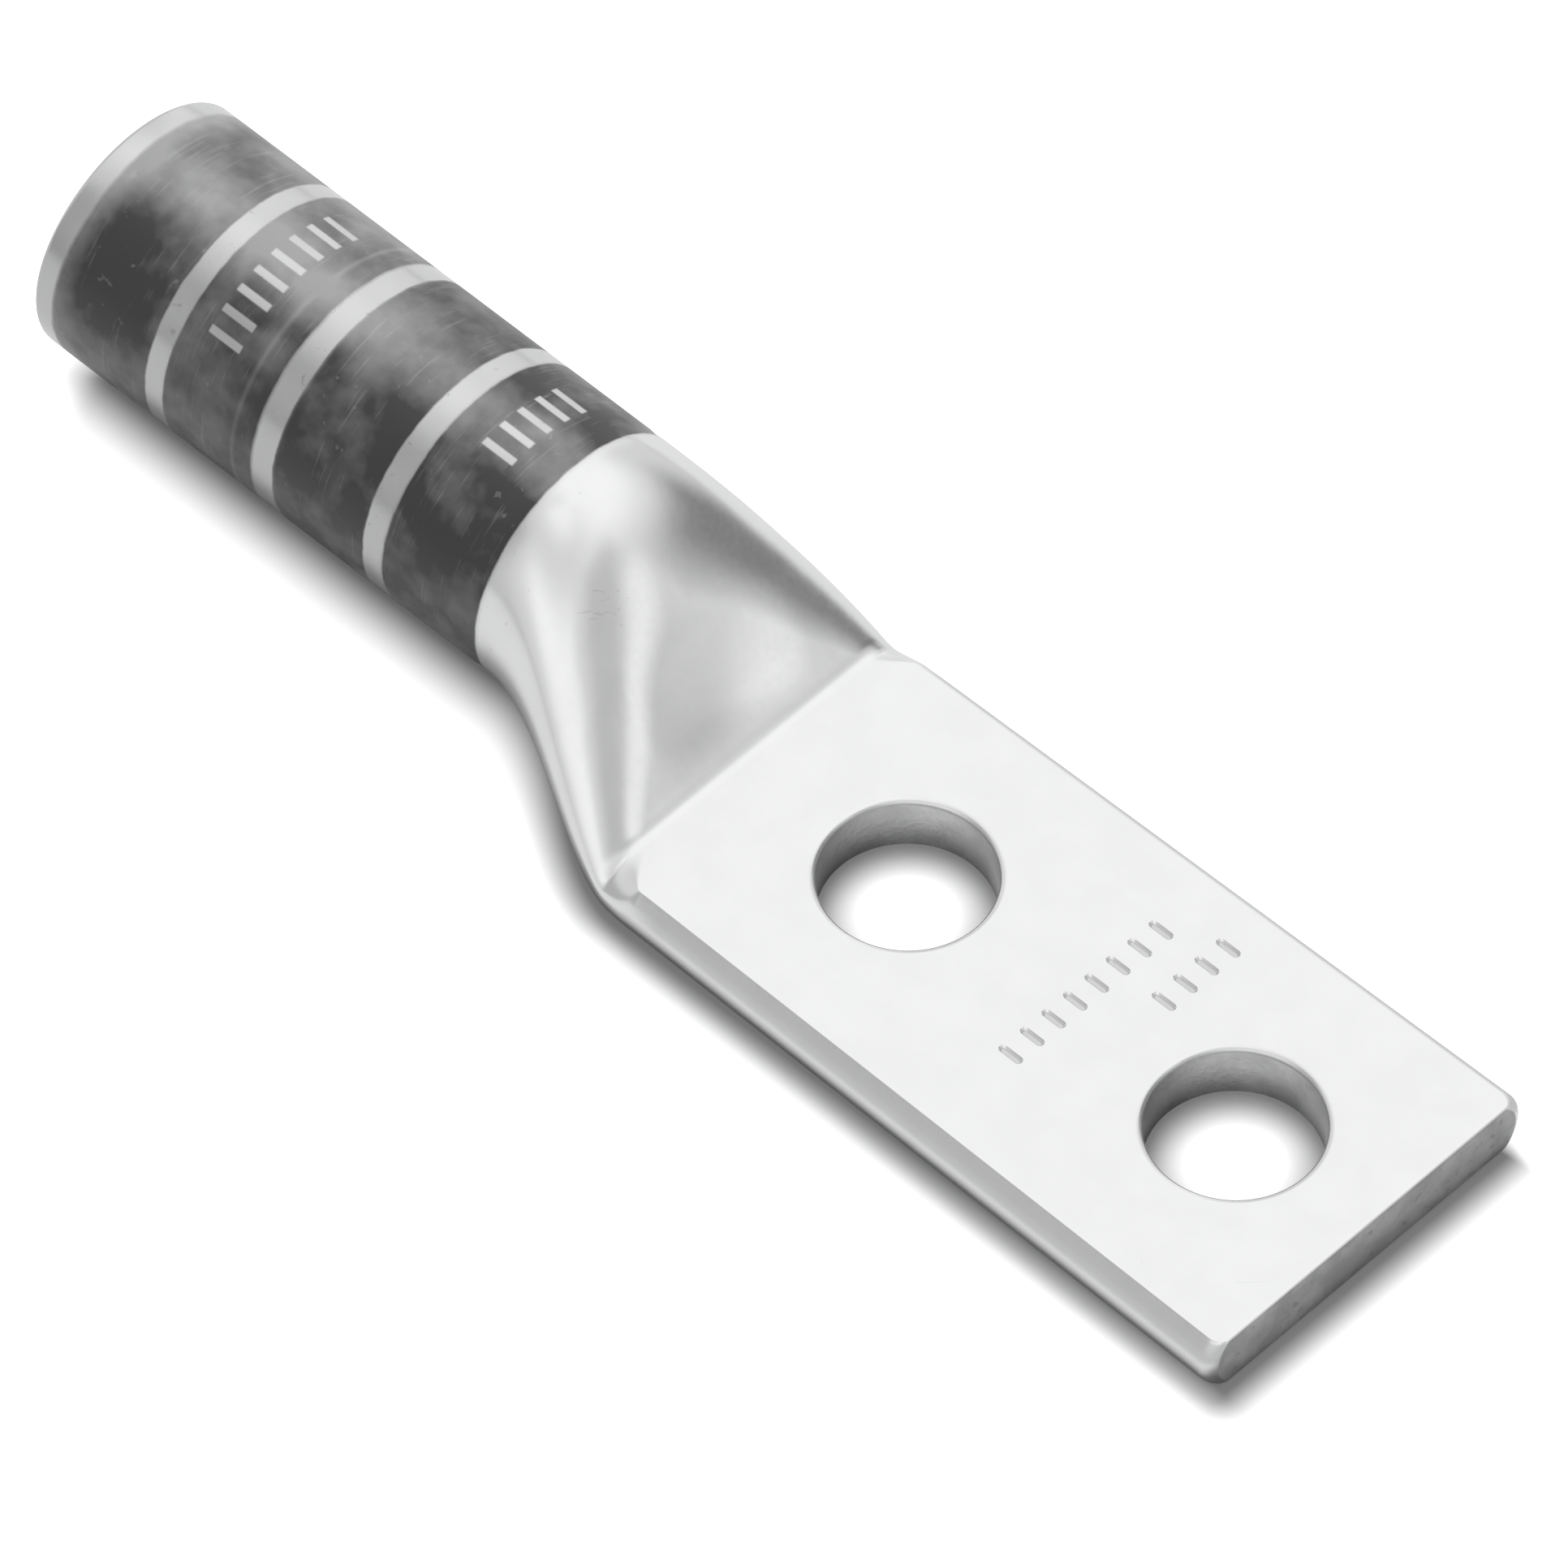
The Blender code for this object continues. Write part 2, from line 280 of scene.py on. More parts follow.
def section_point(angle, radius, top, bottom, reach, upper, lower):
    """The pressed place (y, z) of the round tube's point at an angle from its top.

    Upper and lower are each a flat's half width, a pressed edge and how far it is pressed.
    """
    is_upper = abs(angle) <= math.pi / 2
    flat, edge, pressed = upper if is_upper else lower
    from_pole = abs(angle) if is_upper else math.pi - abs(angle)
    over_flat, out, down = quarter_point(from_pole / (math.pi / 2), radius, flat, edge, pressed)
    _, full_out, full_down = quarter_point(1.0, radius, flat, edge, pressed)
    height = (top - bottom) / 2
    rise = height * (1 - down / full_down)
    y = over_flat + out * (reach - flat) / full_out
    return math.copysign(y, angle), bottom + height + (rise if is_upper else -rise)


tongue_edge = PressedEdge(MID_HEIGHT, SIDE_BULGE, UPPER_EDGE_RADIUS)
print("the tongue's sides bulge", round(tongue_edge.width / MM, 2), "mm past its flat top")

# %% The two skins
APEX_ROUND = 1.0 * MM
FACET_LEAN = 1.1 * MM
DISH_LEAN = 0.6 * MM


def half_width(x):
    top_width = mix(TOP_WIDTH_AT_BEND, TOP_WIDTH_AT_END, share_between(BEND_X, FREE_END_X, x))
    return top_width / 2 + SIDE_BULGE


def reach_at(x, radius):
    spread = smooth(share_between(SHOULDER_X, BEND_X + SIDE_RUN_OUT, x))
    return mix(radius, half_width(x), spread)


def facet_at(x, on_far_side):
    """Half the width of the sloping facet, and beyond the bend of the tongue's flat top."""
    length = FACET_LENGTH + APEX_ROUND
    along = share_between(BEND_X - length, BEND_X, x)
    widest = FACET_WIDTH / 2 + (FACET_LEAN if on_far_side else 0)
    facet = widest * shoulder_then_slope(along, 2 * APEX_ROUND / length)
    run_out = smooth(share_between(BEND_X, BEND_X + FACET_RUN_OUT, x))
    return mix(facet, half_width(x) - tongue_edge.width, run_out)


def dish(x, y, z, top):
    """Sink a point of the sloping face into its shallow dish, which ends at the bend."""
    across = abs(y - DISH_LEAN) / (DISH_WIDTH / 2)
    if z < (top + MID_HEIGHT) / 2 or across >= 1:
        return z
    deepening = smooth(share_between(BEND_X - DISH_LENGTH, BEND_X - DISH_FADE, x))
    fading = smooth(share_between(BEND_X, BEND_X - DISH_FADE, x))
    return z - DISH_DEPTH * deepening * fading * (1 - across * across) ** 2


def pressed_outside(x, angle, radius):
    """Where the press puts a point of the tube's outer skin."""
    sloped = shoulder_then_slope(share_between(SHOULDER_X, BEND_X, x), SHOULDER_SHARE)
    sunk = smooth(share_between(SHOULDER_X, BEND_X, x))
    sharpened = smooth(share_between(BEND_X, BEND_X + TOP_EDGE_RUN, x))
    upper_radius = mix(TOP_EDGE_RADIUS_AT_BEND, UPPER_EDGE_RADIUS, sharpened)
    upper_edge = PressedEdge(MID_HEIGHT, SIDE_BULGE, upper_radius)
    lower_edge = PressedEdge(MID_HEIGHT, SIDE_BULGE, LOWER_EDGE_RADIUS)
    upper = (facet_at(x, angle > 0), upper_edge, sloped)
    lower = (sunk * (half_width(x) - lower_edge.width), lower_edge, sunk)
    top = creased_top(x)
    bottom = mix(AXIS_HEIGHT - radius, 0.0, sunk)
    y, z = section_point(angle, radius, top, bottom, reach_at(x, radius), upper, lower)
    return y, dish(x, y, z, top)


def pressed_inside(x, angle, radius):
    """Where the press puts a point of the bore: its roof comes down to a thin slit."""
    sloped = shoulder_then_slope(share_between(ROOF_START_X, SLIT_X, x), SHOULDER_SHARE)
    sunk = smooth(share_between(SHOULDER_X, BEND_X, x))
    reach = reach_at(x, radius + TUBE_WALL) - TUBE_WALL
    slit = PressedEdge(SLIT_HEIGHT / 2, SLIT_HEIGHT / 4, SLIT_HEIGHT / 8)
    top = mix(AXIS_HEIGHT + radius, ROOF_END, sloped)
    bottom = mix(AXIS_HEIGHT - radius, TUBE_WALL, sunk)
    flat = reach - slit.width
    return section_point(angle, radius, top, bottom, reach,
                         (flat * sloped, slit, sloped), (flat * sunk, slit, sunk))


print("at the bend, the facet is", round(2 * facet_at(BEND_X, False) / MM, 1), "mm wide")

# %% [markdown]
# ## Round the free end
#
# A shear cuts the tongue to length, and its two upright corners are rounded off, so that the lug
# doesn't snag. The profile already has closely spaced rings there. Each ring is drawn in
# towards the middle by a quarter circle, a lot at the sides and a hair above and below.

# %% Draw in the last rings
END_EDGE_ROUND = 0.16 * MM


def setback(from_end, radius):
    """How far a rounded edge of this radius has drawn in at a distance from the end face."""
    left = min(max(radius - from_end, 0.0), radius)
    return radius - math.sqrt(radius * radius - left * left)


def rounded_end(x, y, z):
    """Draw the section in near the free end: a lot at its two sides, a little above and below."""
    from_end = FREE_END_X - x
    aside = 1 - setback(from_end, END_ROUND) / half_width(x)
    upright = 1 - setback(from_end, END_EDGE_ROUND) / MID_HEIGHT
    return y * aside, MID_HEIGHT + (z - MID_HEIGHT) * upright


flat_end = half_width(FREE_END_X) - END_ROUND
print("the end face is", round(2 * flat_end / MM, 1), "mm wide")

# %% Press every point
START_OF_PRESSING = min(SHOULDER_X, ROOF_START_X)


def press(body):
    """Move each point of the turned tube to its pressed place."""
    for vert in body.verts:
        x, y, z = vert.co
        radius = math.hypot(y, z)
        if radius < MM:
            vert.co.z = MID_HEIGHT if x > BEND_X else TUBE_WALL + SLIT_HEIGHT / 2
            continue
        if x < START_OF_PRESSING:
            vert.co.z += AXIS_HEIGHT
            continue
        angle = math.atan2(y, z)
        is_outside = radius > TUBE_RADIUS - TUBE_WALL / 2
        place = pressed_outside if is_outside else pressed_inside
        y, z = place(x, angle, radius)
        if x > FREE_END_X - END_ROUND:
            y, z = rounded_end(x, y, z)
        vert.co.y, vert.co.z = y, z


press(tube)
print("highest point in mm:", round(max(vert.co.z for vert in tube.verts) / MM, 2))

# %% Make the lug an object
def new_object(name, body):
    """Keep a bmesh as the mesh of a new object in the scene."""
    mesh = bpy.data.meshes.new(name)
    body.to_mesh(mesh)
    body.free()
    made = bpy.data.objects.new(name, mesh)
    bpy.context.scene.collection.objects.link(made)
    print(name, "has", len(mesh.polygons), "faces")
    return made


lug = new_object("pressed_lug", tube)

# %% [markdown]
# ## Punch the stud holes
#
# Both holes are cut by one turned tool shape. It flares out in a small round at the upper face,
# because a punch draws that edge in, and it leaves the lower edge crisp. The flare stops a hair
# short of the face, where the tool goes straight up, so that the cut has a clean crossing.

# %% Turn the cutters
HOLE_ROUND = 0.4 * MM
HAIR = 0.004 * MM


def hole_profile():
    """Points (height, distance from the hole's middle) up one side of the cutter."""
    wide = STUD_HOLE_RADIUS + HOLE_ROUND
    flare_top = TONGUE_THICKNESS - HAIR
    flare = []
    for step in range(ROUND_STEPS + 1):
        turn = step * ROUND_STEP_ANGLE
        flare.append((flare_top - HOLE_ROUND * (1 - math.sin(turn)),
                      wide - HOLE_ROUND * math.cos(turn)))
    low = [(-MM, 0.0), (-MM, STUD_HOLE_RADIUS)]
    high = [(TONGUE_THICKNESS + MM, wide), (TONGUE_THICKNESS + MM, 0.0)]
    return low + flare + high


def hole_cutter(x):
    body = turned(hole_profile(), "Z")
    bmesh.ops.translate(body, verts=body.verts[:], vec=(x, 0, 0))
    return new_object("hole_cutter", body)


cutters = [hole_cutter(x) for x in STUD_HOLES_X]

# %% [markdown]
# ## Stamp the marks
#
# A small hand stamp has left two rows of shallow marks between the holes. Each is a short bar
# with rounded ends and sloping walls. A cube is squeezed into that shape, its upright edges are
# rounded by a bevel, and the copies stand in two rows across the tongue.

# %% Shape the stamps
STAMP_DEPTH = 0.19 * MM
STAMP_LENGTH = 2.0 * MM
STAMP_WIDTH = 0.85 * MM
STAMP_ROUND = 0.4 * STAMP_WIDTH
STAMP_TAPER = 0.3
STAMP_PITCH = 1.75 * MM
STAMP_ROWS = ((0.3 * MM, -5.2 * MM, 8), (3.9 * MM, 3.5 * MM, 4))


def stamp_bar(body):
    """One bar, half above and half below the tongue's top, narrower towards its foot."""
    bar = bmesh.ops.create_cube(body, size=2 * STAMP_DEPTH)["verts"]
    stretch = (STAMP_LENGTH / 2 / STAMP_DEPTH, STAMP_WIDTH / 2 / STAMP_DEPTH, 1)
    bmesh.ops.scale(body, verts=bar, vec=stretch)
    upright = [edge for edge in body.edges
               if abs(edge.verts[0].co.z - edge.verts[1].co.z) > STAMP_DEPTH]
    bmesh.ops.bevel(body, geom=upright, offset=STAMP_ROUND, affect="EDGES",
                    segments=6, profile=0.5, material=-1)
    foot = [vert for vert in body.verts if vert.co.z < 0]
    drawn_in = (1 - STAMP_TAPER) * STAMP_WIDTH / STAMP_LENGTH
    bmesh.ops.scale(body, verts=foot, vec=(1 - drawn_in, STAMP_TAPER, 1))
    bmesh.ops.translate(body, verts=body.verts[:], vec=(0, 0, TONGUE_THICKNESS))


def vertices_of(geometry):
    return [item for item in geometry if isinstance(item, bmesh.types.BMVert)]


def stamp_cutter():
    """Copies of one bar in two rows. The bar that they were copied from goes away."""
    body = bmesh.new()
    stamp_bar(body)
    first = body.verts[:] + body.edges[:] + body.faces[:]
    for x, first_y, count in STAMP_ROWS:
        for place in range(count):
            copied = bmesh.ops.duplicate(body, geom=first)["geom"]
            bmesh.ops.translate(body, verts=vertices_of(copied),
                                vec=(x, first_y + place * STAMP_PITCH, 0))
    bmesh.ops.delete(body, geom=vertices_of(first), context="VERTS")
    bmesh.ops.recalc_face_normals(body, faces=body.faces[:])
    return new_object("stamp_cutter", body)


cutters.append(stamp_cutter())

# %% [markdown]
# ## Cut, and keep what is left
#
# Boolean modifiers subtract the punches and the stamps from the lug. Their result is kept as
# the lug's own mesh. Smooth shading with weighted normals then keeps the flat faces flat and lets
# only the small rounds bend the light.

# %% Cut, weight the normals and keep the result
def finished(target, tools):
    """Cut the tools out of the target and keep the result as its own mesh."""
    for tool in tools:
        cut = target.modifiers.new("cut", "BOOLEAN")
        cut.operation = "DIFFERENCE"
        cut.solver = "EXACT"
        cut.object = tool
    bpy.context.view_layer.update()
    evaluated = target.evaluated_get(bpy.context.evaluated_depsgraph_get())
    mesh = bpy.data.meshes.new_from_object(evaluated)
    target.modifiers.clear()
    target.data = mesh
    for tool in tools:
        bpy.data.objects.remove(tool)
    return mesh


SHARP_FROM = math.radians(40)

lug_mesh = finished(lug, cutters)
lug_mesh.name = "pressed_lug"
lug_mesh.shade_smooth()
lug_mesh.set_sharp_from_angle(angle=SHARP_FROM)
even_shading = lug.modifiers.new("even_shading", "WEIGHTED_NORMAL")
even_shading.keep_sharp = True
even_shading.weight = 100
print("the lug has", len(lug_mesh.polygons), "faces")

# %% [markdown]
# ## Helpers for the finishes
#
# Every finish below is a tree of shader nodes. These helpers add one node in one line, so that a
# tree reads from top to bottom like a recipe. A socket is given either a number or the output
# of an earlier node.

# %% Nodes that do sums
def fill(tree, socket, value):
    """Give a socket a plain value, or link an earlier node's output to it."""
    if isinstance(value, bpy.types.NodeSocket):
        tree.links.new(value, socket)
    else:
        socket.default_value = value


def math_node(tree, operation, *values):
    made = tree.nodes.new("ShaderNodeMath")
    made.operation = operation
    for socket, value in zip(made.inputs, values):
        fill(tree, socket, value)
    return made.outputs[0]


def add(tree, first, second):
    return math_node(tree, "ADD", first, second)


def minus(tree, first, second):
    return math_node(tree, "SUBTRACT", first, second)


def times(tree, first, second):
    return math_node(tree, "MULTIPLY", first, second)


def distance(tree, first, second):
    """The long side of a triangle over two sides at right angles."""
    squares = add(tree, times(tree, first, first), times(tree, second, second))
    return math_node(tree, "SQRT", squares)


print("helpers for sums: add, minus, times, distance")

# %% Nodes that blend
def ramp_between(tree, value, start, end, low=0.0, high=1.0):
    """Go softly from low to high while the value goes from start to end."""
    made = tree.nodes.new("ShaderNodeMapRange")
    made.interpolation_type = "SMOOTHSTEP"
    for name, number in (("Value", value), ("From Min", start), ("From Max", end),
                         ("To Min", low), ("To Max", high)):
        fill(tree, made.inputs[name], number)
    return made.outputs[0]


def within(tree, value, middle, half, soft):
    """1 where the value lies within a half width of the middle, with soft ends."""
    away = math_node(tree, "ABSOLUTE", minus(tree, value, middle))
    return ramp_between(tree, away, half + soft, half - soft)


def mixed(tree, share, first, second):
    """Blend two numbers, as mix() does in Python."""
    made = tree.nodes.new("ShaderNodeMix")
    made.data_type = "FLOAT"
    sockets = (made.inputs[0], made.inputs[2], made.inputs[3])
    for socket, value in zip(sockets, (share, first, second)):
        fill(tree, socket, value)
    return made.outputs[0]


def lowered(tree, value, effect, share):
    """Bring a value down to a share of itself where an effect is 1."""
    return times(tree, value, mixed(tree, effect, 1.0, share))


print("helpers that blend: ramp_between, within, mixed, lowered")

# %% Nodes for colour, place and noise
COOL_CAST = (0.998, 1.0, 1.003)


def grey(tree, value):
    """Turn a number into a grey with a faint cool cast."""
    made = tree.nodes.new("ShaderNodeCombineColor")
    for socket, cast in zip(made.inputs, COOL_CAST):
        fill(tree, socket, times(tree, value, cast))
    return made.outputs[0]


def scaled_place(tree, place, scale):
    made = tree.nodes.new("ShaderNodeMapping")
    fill(tree, made.inputs["Vector"], place)
    made.inputs["Scale"].default_value = scale
    return made.outputs[0]


def noise(tree, place, scale, detail=2.0, roughness=0.5):
    made = tree.nodes.new("ShaderNodeTexNoise")
    fill(tree, made.inputs["Vector"], place)
    fill(tree, made.inputs["Scale"], scale)
    made.inputs["Detail"].default_value = detail
    made.inputs["Roughness"].default_value = roughness
    return made.outputs[0]


def place_outputs(tree):
    """Object coordinates as a vector, and x, y and z in millimetres."""
    place = tree.nodes.new("ShaderNodeTexCoord").outputs["Object"]
    split = tree.nodes.new("ShaderNodeSeparateXYZ")
    tree.links.new(place, split.inputs[0])
    return place, [times(tree, output, 1 / MM) for output in split.outputs]


print("blue over red in a grey:", round(COOL_CAST[2] / COOL_CAST[0], 3))

# %% A new finish and its bumps
def new_finish(name):
    """A material, its node tree and its surface node."""
    material = bpy.data.materials.new(name)
    material.use_nodes = True
    tree = material.node_tree
    return material, tree, tree.nodes["Principled BSDF"]


def bump_up(tree, surface, height, depth, strength):
    """Let a pattern of heights tilt the surface."""
    bump = tree.nodes.new("ShaderNodeBump")
    bump.inputs["Distance"].default_value = depth
    bump.inputs["Strength"].default_value = strength
    tree.links.new(height, bump.inputs["Height"])
    tree.links.new(bump.outputs[0], surface.inputs["Normal"])


print("helpers for a finish: new_finish, bump_up")

# %% [markdown]
# ## Effects that several finishes share
#
# Plated and sheared metal both show soft clouds, where the surface is a little duller, small
# dark specks, where dirt sits in a pit, and short scratches. Each is a node group, made once. A
# material places the group and gives it its own sizes. Noise in real metres keeps the scale
# right on any piece, and noise that is stretched one way turns into scratches.

# %% Clouds, specks and scratches as node groups
LIMIT_EDGE = 0.05


def new_group(name, inputs, output):
    """A node group with named inputs, all of them numbers but Place, and one named output."""
    group = bpy.data.node_groups.new(name, "ShaderNodeTree")
    for title in inputs:
        kind = "NodeSocketVector" if title == "Place" else "NodeSocketFloat"
        group.interface.new_socket(title, in_out="INPUT", socket_type=kind)
    group.interface.new_socket(output, in_out="OUTPUT", socket_type="NodeSocketFloat")
    given = group.nodes.new("NodeGroupInput").outputs
    return group, given, group.nodes.new("NodeGroupOutput").inputs[output]


def above_limit(group, value, share, limit_for_none, limit_for_all):
    """1 where a noise lies above a limit, which falls as the share grows."""
    limit = mixed(group, share, limit_for_none, limit_for_all)
    return ramp_between(group, minus(group, value, limit), 0.0, LIMIT_EDGE)


def make_clouds():
    """Soft clouds from 0 to 1, about one per Size."""
    group, given, result = new_group("metal_clouds", ("Place", "Size"), "Cloud")
    per_metre = math_node(group, "DIVIDE", 1.0, given["Size"])
    rough_cloud = noise(group, given["Place"], per_metre, 3.0, 0.5)
    group.links.new(ramp_between(group, rough_cloud, 0.30, 0.70), result)
    return group


def make_scratches():
    """Short thin scratches that run along X + Y; 1 in a scratch. Share says how many."""
    group, given, result = new_group("metal_scratches", ("Place", "Share"), "Scratch")
    turned_place = group.nodes.new("ShaderNodeMapping")
    turned_place.inputs["Rotation"].default_value[2] = math.radians(-45)
    group.links.new(given["Place"], turned_place.inputs["Vector"])
    drawn_out = scaled_place(group, turned_place.outputs[0], (0.3, 7.0, 7.0))
    lines = noise(group, drawn_out, 700.0, 1.0)
    group.links.new(above_limit(group, lines, given["Share"], 0.80, 0.55), result)
    return group


def make_specks():
    """Small dark specks: 1 in a speck. Share, from 0 to 1, is how much of the metal they take."""
    group, given, result = new_group("metal_specks", ("Place", "Size", "Share"), "Speck")
    per_metre = math_node(group, "DIVIDE", 1.0, given["Size"])
    fine = noise(group, given["Place"], per_metre, 2.0, 0.6)
    group.links.new(above_limit(group, fine, given["Share"], 0.78, 0.45), result)
    return group


def use_group(tree, group, **inputs):
    made = tree.nodes.new("ShaderNodeGroup")
    made.node_tree = group
    for title, value in inputs.items():
        fill(tree, made.inputs[title], value)
    return made.outputs[0]


CLOUDS = make_clouds()
SPECKS = make_specks()
SCRATCHES = make_scratches()
print("node groups:", [group.name for group in bpy.data.node_groups])

# %% [markdown]
# ## Where the ink is
#
# The finished barrel is rolled over an inked pad. The ink leaves a bare ring at the mouth and
# three bare stripes, which tell where the crimps go. A colour ramp along the barrel holds these
# bands. Two rows of short bars are left bare in the ink as well. Their place round the barrel is
# an angle, so they bend with the surface.

# %% The inked bands
INK_BANDS = ((-72.36, -64.93), (-63.53, -56.43), (-54.74, -47.58), (-46.04, -38.66))
INK_EDGE = 0.07
RAMP_START = -75.0
RAMP_END = -35.0


def ink_bands(tree, x):
    """1 on the inked bands and 0 between them, along the barrel."""
    along = tree.nodes.new("ShaderNodeMapRange")
    for name, value in (("Value", x), ("From Min", RAMP_START), ("From Max", RAMP_END)):
        fill(tree, along.inputs[name], value)
    ramp = tree.nodes.new("ShaderNodeValToRGB")
    tree.links.new(along.outputs[0], ramp.inputs[0])
    stops = []
    for low, high in INK_BANDS:
        stops += [(low - INK_EDGE, 0), (low + INK_EDGE, 1)]
        stops += [(high - INK_EDGE, 1), (high + INK_EDGE, 0)]
    elements = ramp.color_ramp.elements
    while len(elements) < len(stops):
        elements.new(0.5)
    for element, (place, _) in zip(elements, stops):
        element.position = (place - RAMP_START) / (RAMP_END - RAMP_START)
    for element, (_, value) in zip(elements, stops):
        element.color = (value, value, value, 1)
    return ramp.outputs[0]


print("the bare stripes are", [round(after[0] - before[1], 2)
                               for before, after in zip(INK_BANDS, INK_BANDS[1:])], "mm wide")

# %% The bare bars
BAR = (0.5, 0.17, 0.05)
BAR_ROWS = (dict(x=(-60.7, 1.2, 0.09), angle=(-8.0, 40.0, 0.3), pitch=10.0),
            dict(x=(-42.6, 1.2, 0.09), angle=(5.0, 25.0, 0.3), pitch=10.0))


def bare_bars(tree, x, angle, row):
    """A row of short bars round the barrel: 1 on a bar."""
    step = math_node(tree, "FRACT", math_node(tree, "DIVIDE", angle, row["pitch"]))
    in_row = times(tree, within(tree, step, *BAR), within(tree, angle, *row["angle"]))
    return times(tree, in_row, within(tree, x, *row["x"]))


print("bars in each row:", [round(2 * row["angle"][1] / row["pitch"]) for row in BAR_ROWS])

# %% [markdown]
# ## The barrel's and the tongue's finish
#
# Tin is a metal, so its look is almost all reflection: a light base colour, Metallic 1 and a
# moderate roughness. Ink is no metal. It is a dark layer with a thin shine. Handling rubs it to a
# lighter grey at the mouth and partly over the back, and it stays thick on the near flank. The
# back is also painted lighter where the light falls on it, and a lighter band along the top is a
# painted highlight.
# Clouds, fine hoops round the barrel and small flecks break it up. One material holds both,
# because the ink lies on the tin, and a mask says which one shows.
#
# In the values below, a ramp is written as its start, its end and the two values there. A place
# with soft ends is written as its middle, half its width and its softness. Both are in
# millimetres along the lug or in degrees round the barrel.

# %% Places round the barrel
LOWEST_LINE = (168.0, 120.0)


def round_the_axis(tree, y, z):
    """A point's distance from the barrel's axis in mm, and its angle from the top in degrees."""
    over_axis = minus(tree, z, AXIS_HEIGHT / MM)
    angle = math_node(tree, "DEGREES", math_node(tree, "ARCTAN2", y, over_axis))
    return distance(tree, y, over_axis), angle


def fading_below(tree, angle, value):
    """Let a value fade out towards the barrel's lowest line, where its two sides meet."""
    kept = ramp_between(tree, math_node(tree, "ABSOLUTE", angle), *LOWEST_LINE)
    return times(tree, value, kept)


print("the barrel's axis is", round(AXIS_HEIGHT / MM, 2), "mm up")

# %% How light the ink is
LIGHTEST_INK = 0.38
INK_THICK = 0.045
INK_CLOUD = 4.2 * MM
SMALL_INK_CLOUD = 1.3 * MM
# Lighter over the back: partly wear, partly painted light where the lamp falls on it.
BACK_WEAR_AND_LIGHT = (-34.0, 4.0)
BACK_WEAR_AND_LIGHT_ALONG = (-68.0, -43.0, 0.38, 0.08)
LOW_FLANK = (-62.0, -84.0)
# A lighter band along the crest: a painted highlight.
PAINTED_CREST_HIGHLIGHT = (-5.0, 13.0, 12.0)
WORN_BAND = (-60.0, 4.5, 3.0)
WORN_RING = (-58.0, 0.10, 0.22)
WORN_MOUTH = (-70.2, -72.6)
HOOP_STRETCH = (9.0, 0.5, 0.5)
HOOP_SCALE = 520.0
HOOP_LIMITS = (0.60, 0.72)
# Clouds rub and thicken by turns, so about their mean is taken off.
KEPT_INK = 0.24
WEAR_AND_HIGHLIGHT = dict(painted_highlight=0.50, flank=0.08, band=0.13, mouth=0.50, clouds=0.42, small_clouds=0.14,
            hoops=0.16, ring=0.30)


def ink_shade(tree, place, x, angle):
    """How light the ink is, from thick to worn, with a painted highlight and painted light."""
    back_wear_and_light = fading_below(tree, angle, ramp_between(tree, angle, *BACK_WEAR_AND_LIGHT))
    back_wear_and_light = times(tree, back_wear_and_light, ramp_between(tree, x, *BACK_WEAR_AND_LIGHT_ALONG))
    hoops = noise(tree, scaled_place(tree, place, HOOP_STRETCH), HOOP_SCALE)
    effects = dict(
        painted_highlight=within(tree, angle, *PAINTED_CREST_HIGHLIGHT),
        flank=fading_below(tree, angle, ramp_between(tree, angle, *LOW_FLANK)),
        band=within(tree, x, *WORN_BAND),
        mouth=ramp_between(tree, x, *WORN_MOUTH),
        clouds=use_group(tree, CLOUDS, Place=place, Size=INK_CLOUD),
        small_clouds=use_group(tree, CLOUDS, Place=place, Size=SMALL_INK_CLOUD),
        hoops=ramp_between(tree, hoops, *HOOP_LIMITS),
        ring=within(tree, x, *WORN_RING),
    )
    # Start from the back's wear and painted light; the effects add wear and the painted highlight.
    wear_and_painted_light = minus(tree, back_wear_and_light, KEPT_INK)
    for name, effect in effects.items():
        wear_and_painted_light = math_node(tree, "MULTIPLY_ADD", effect, WEAR_AND_HIGHLIGHT[name], wear_and_painted_light)
    clamped = tree.nodes.new("ShaderNodeClamp")
    tree.links.new(wear_and_painted_light, clamped.inputs[0])
    return mixed(tree, clamped.outputs[0], INK_THICK, LIGHTEST_INK)


print("the ink's lightness runs from", INK_THICK, "to", LIGHTEST_INK)

# %% How light the tin is
TIN = 0.875
BARREL_TIN = 0.80
PAINTED_SHADE_TIN = 0.64
BARREL_START = (-38.2, -39.2)
# Darker low on the barrel's near flank: a painted shade.
PAINTED_FLANK_SHADE = (-44.0, -64.0)
TIN_CLOUD = 3.0 * MM
CLOUDED_TIN = 0.975
TIN_SPECK = 0.55 * MM
SPECKS_BY_INK = (-33.0, -38.0, 0.02, 0.30)
SPECK_SHADE = 0.8
SCRATCHED_X = (-32.6, 1.2, 1.2)
SCRATCHED_ANGLE = (-42.0, 14.0, 8.0)
SCRATCHED_SHARE = 0.75
SCRATCH_SHADE = 0.9


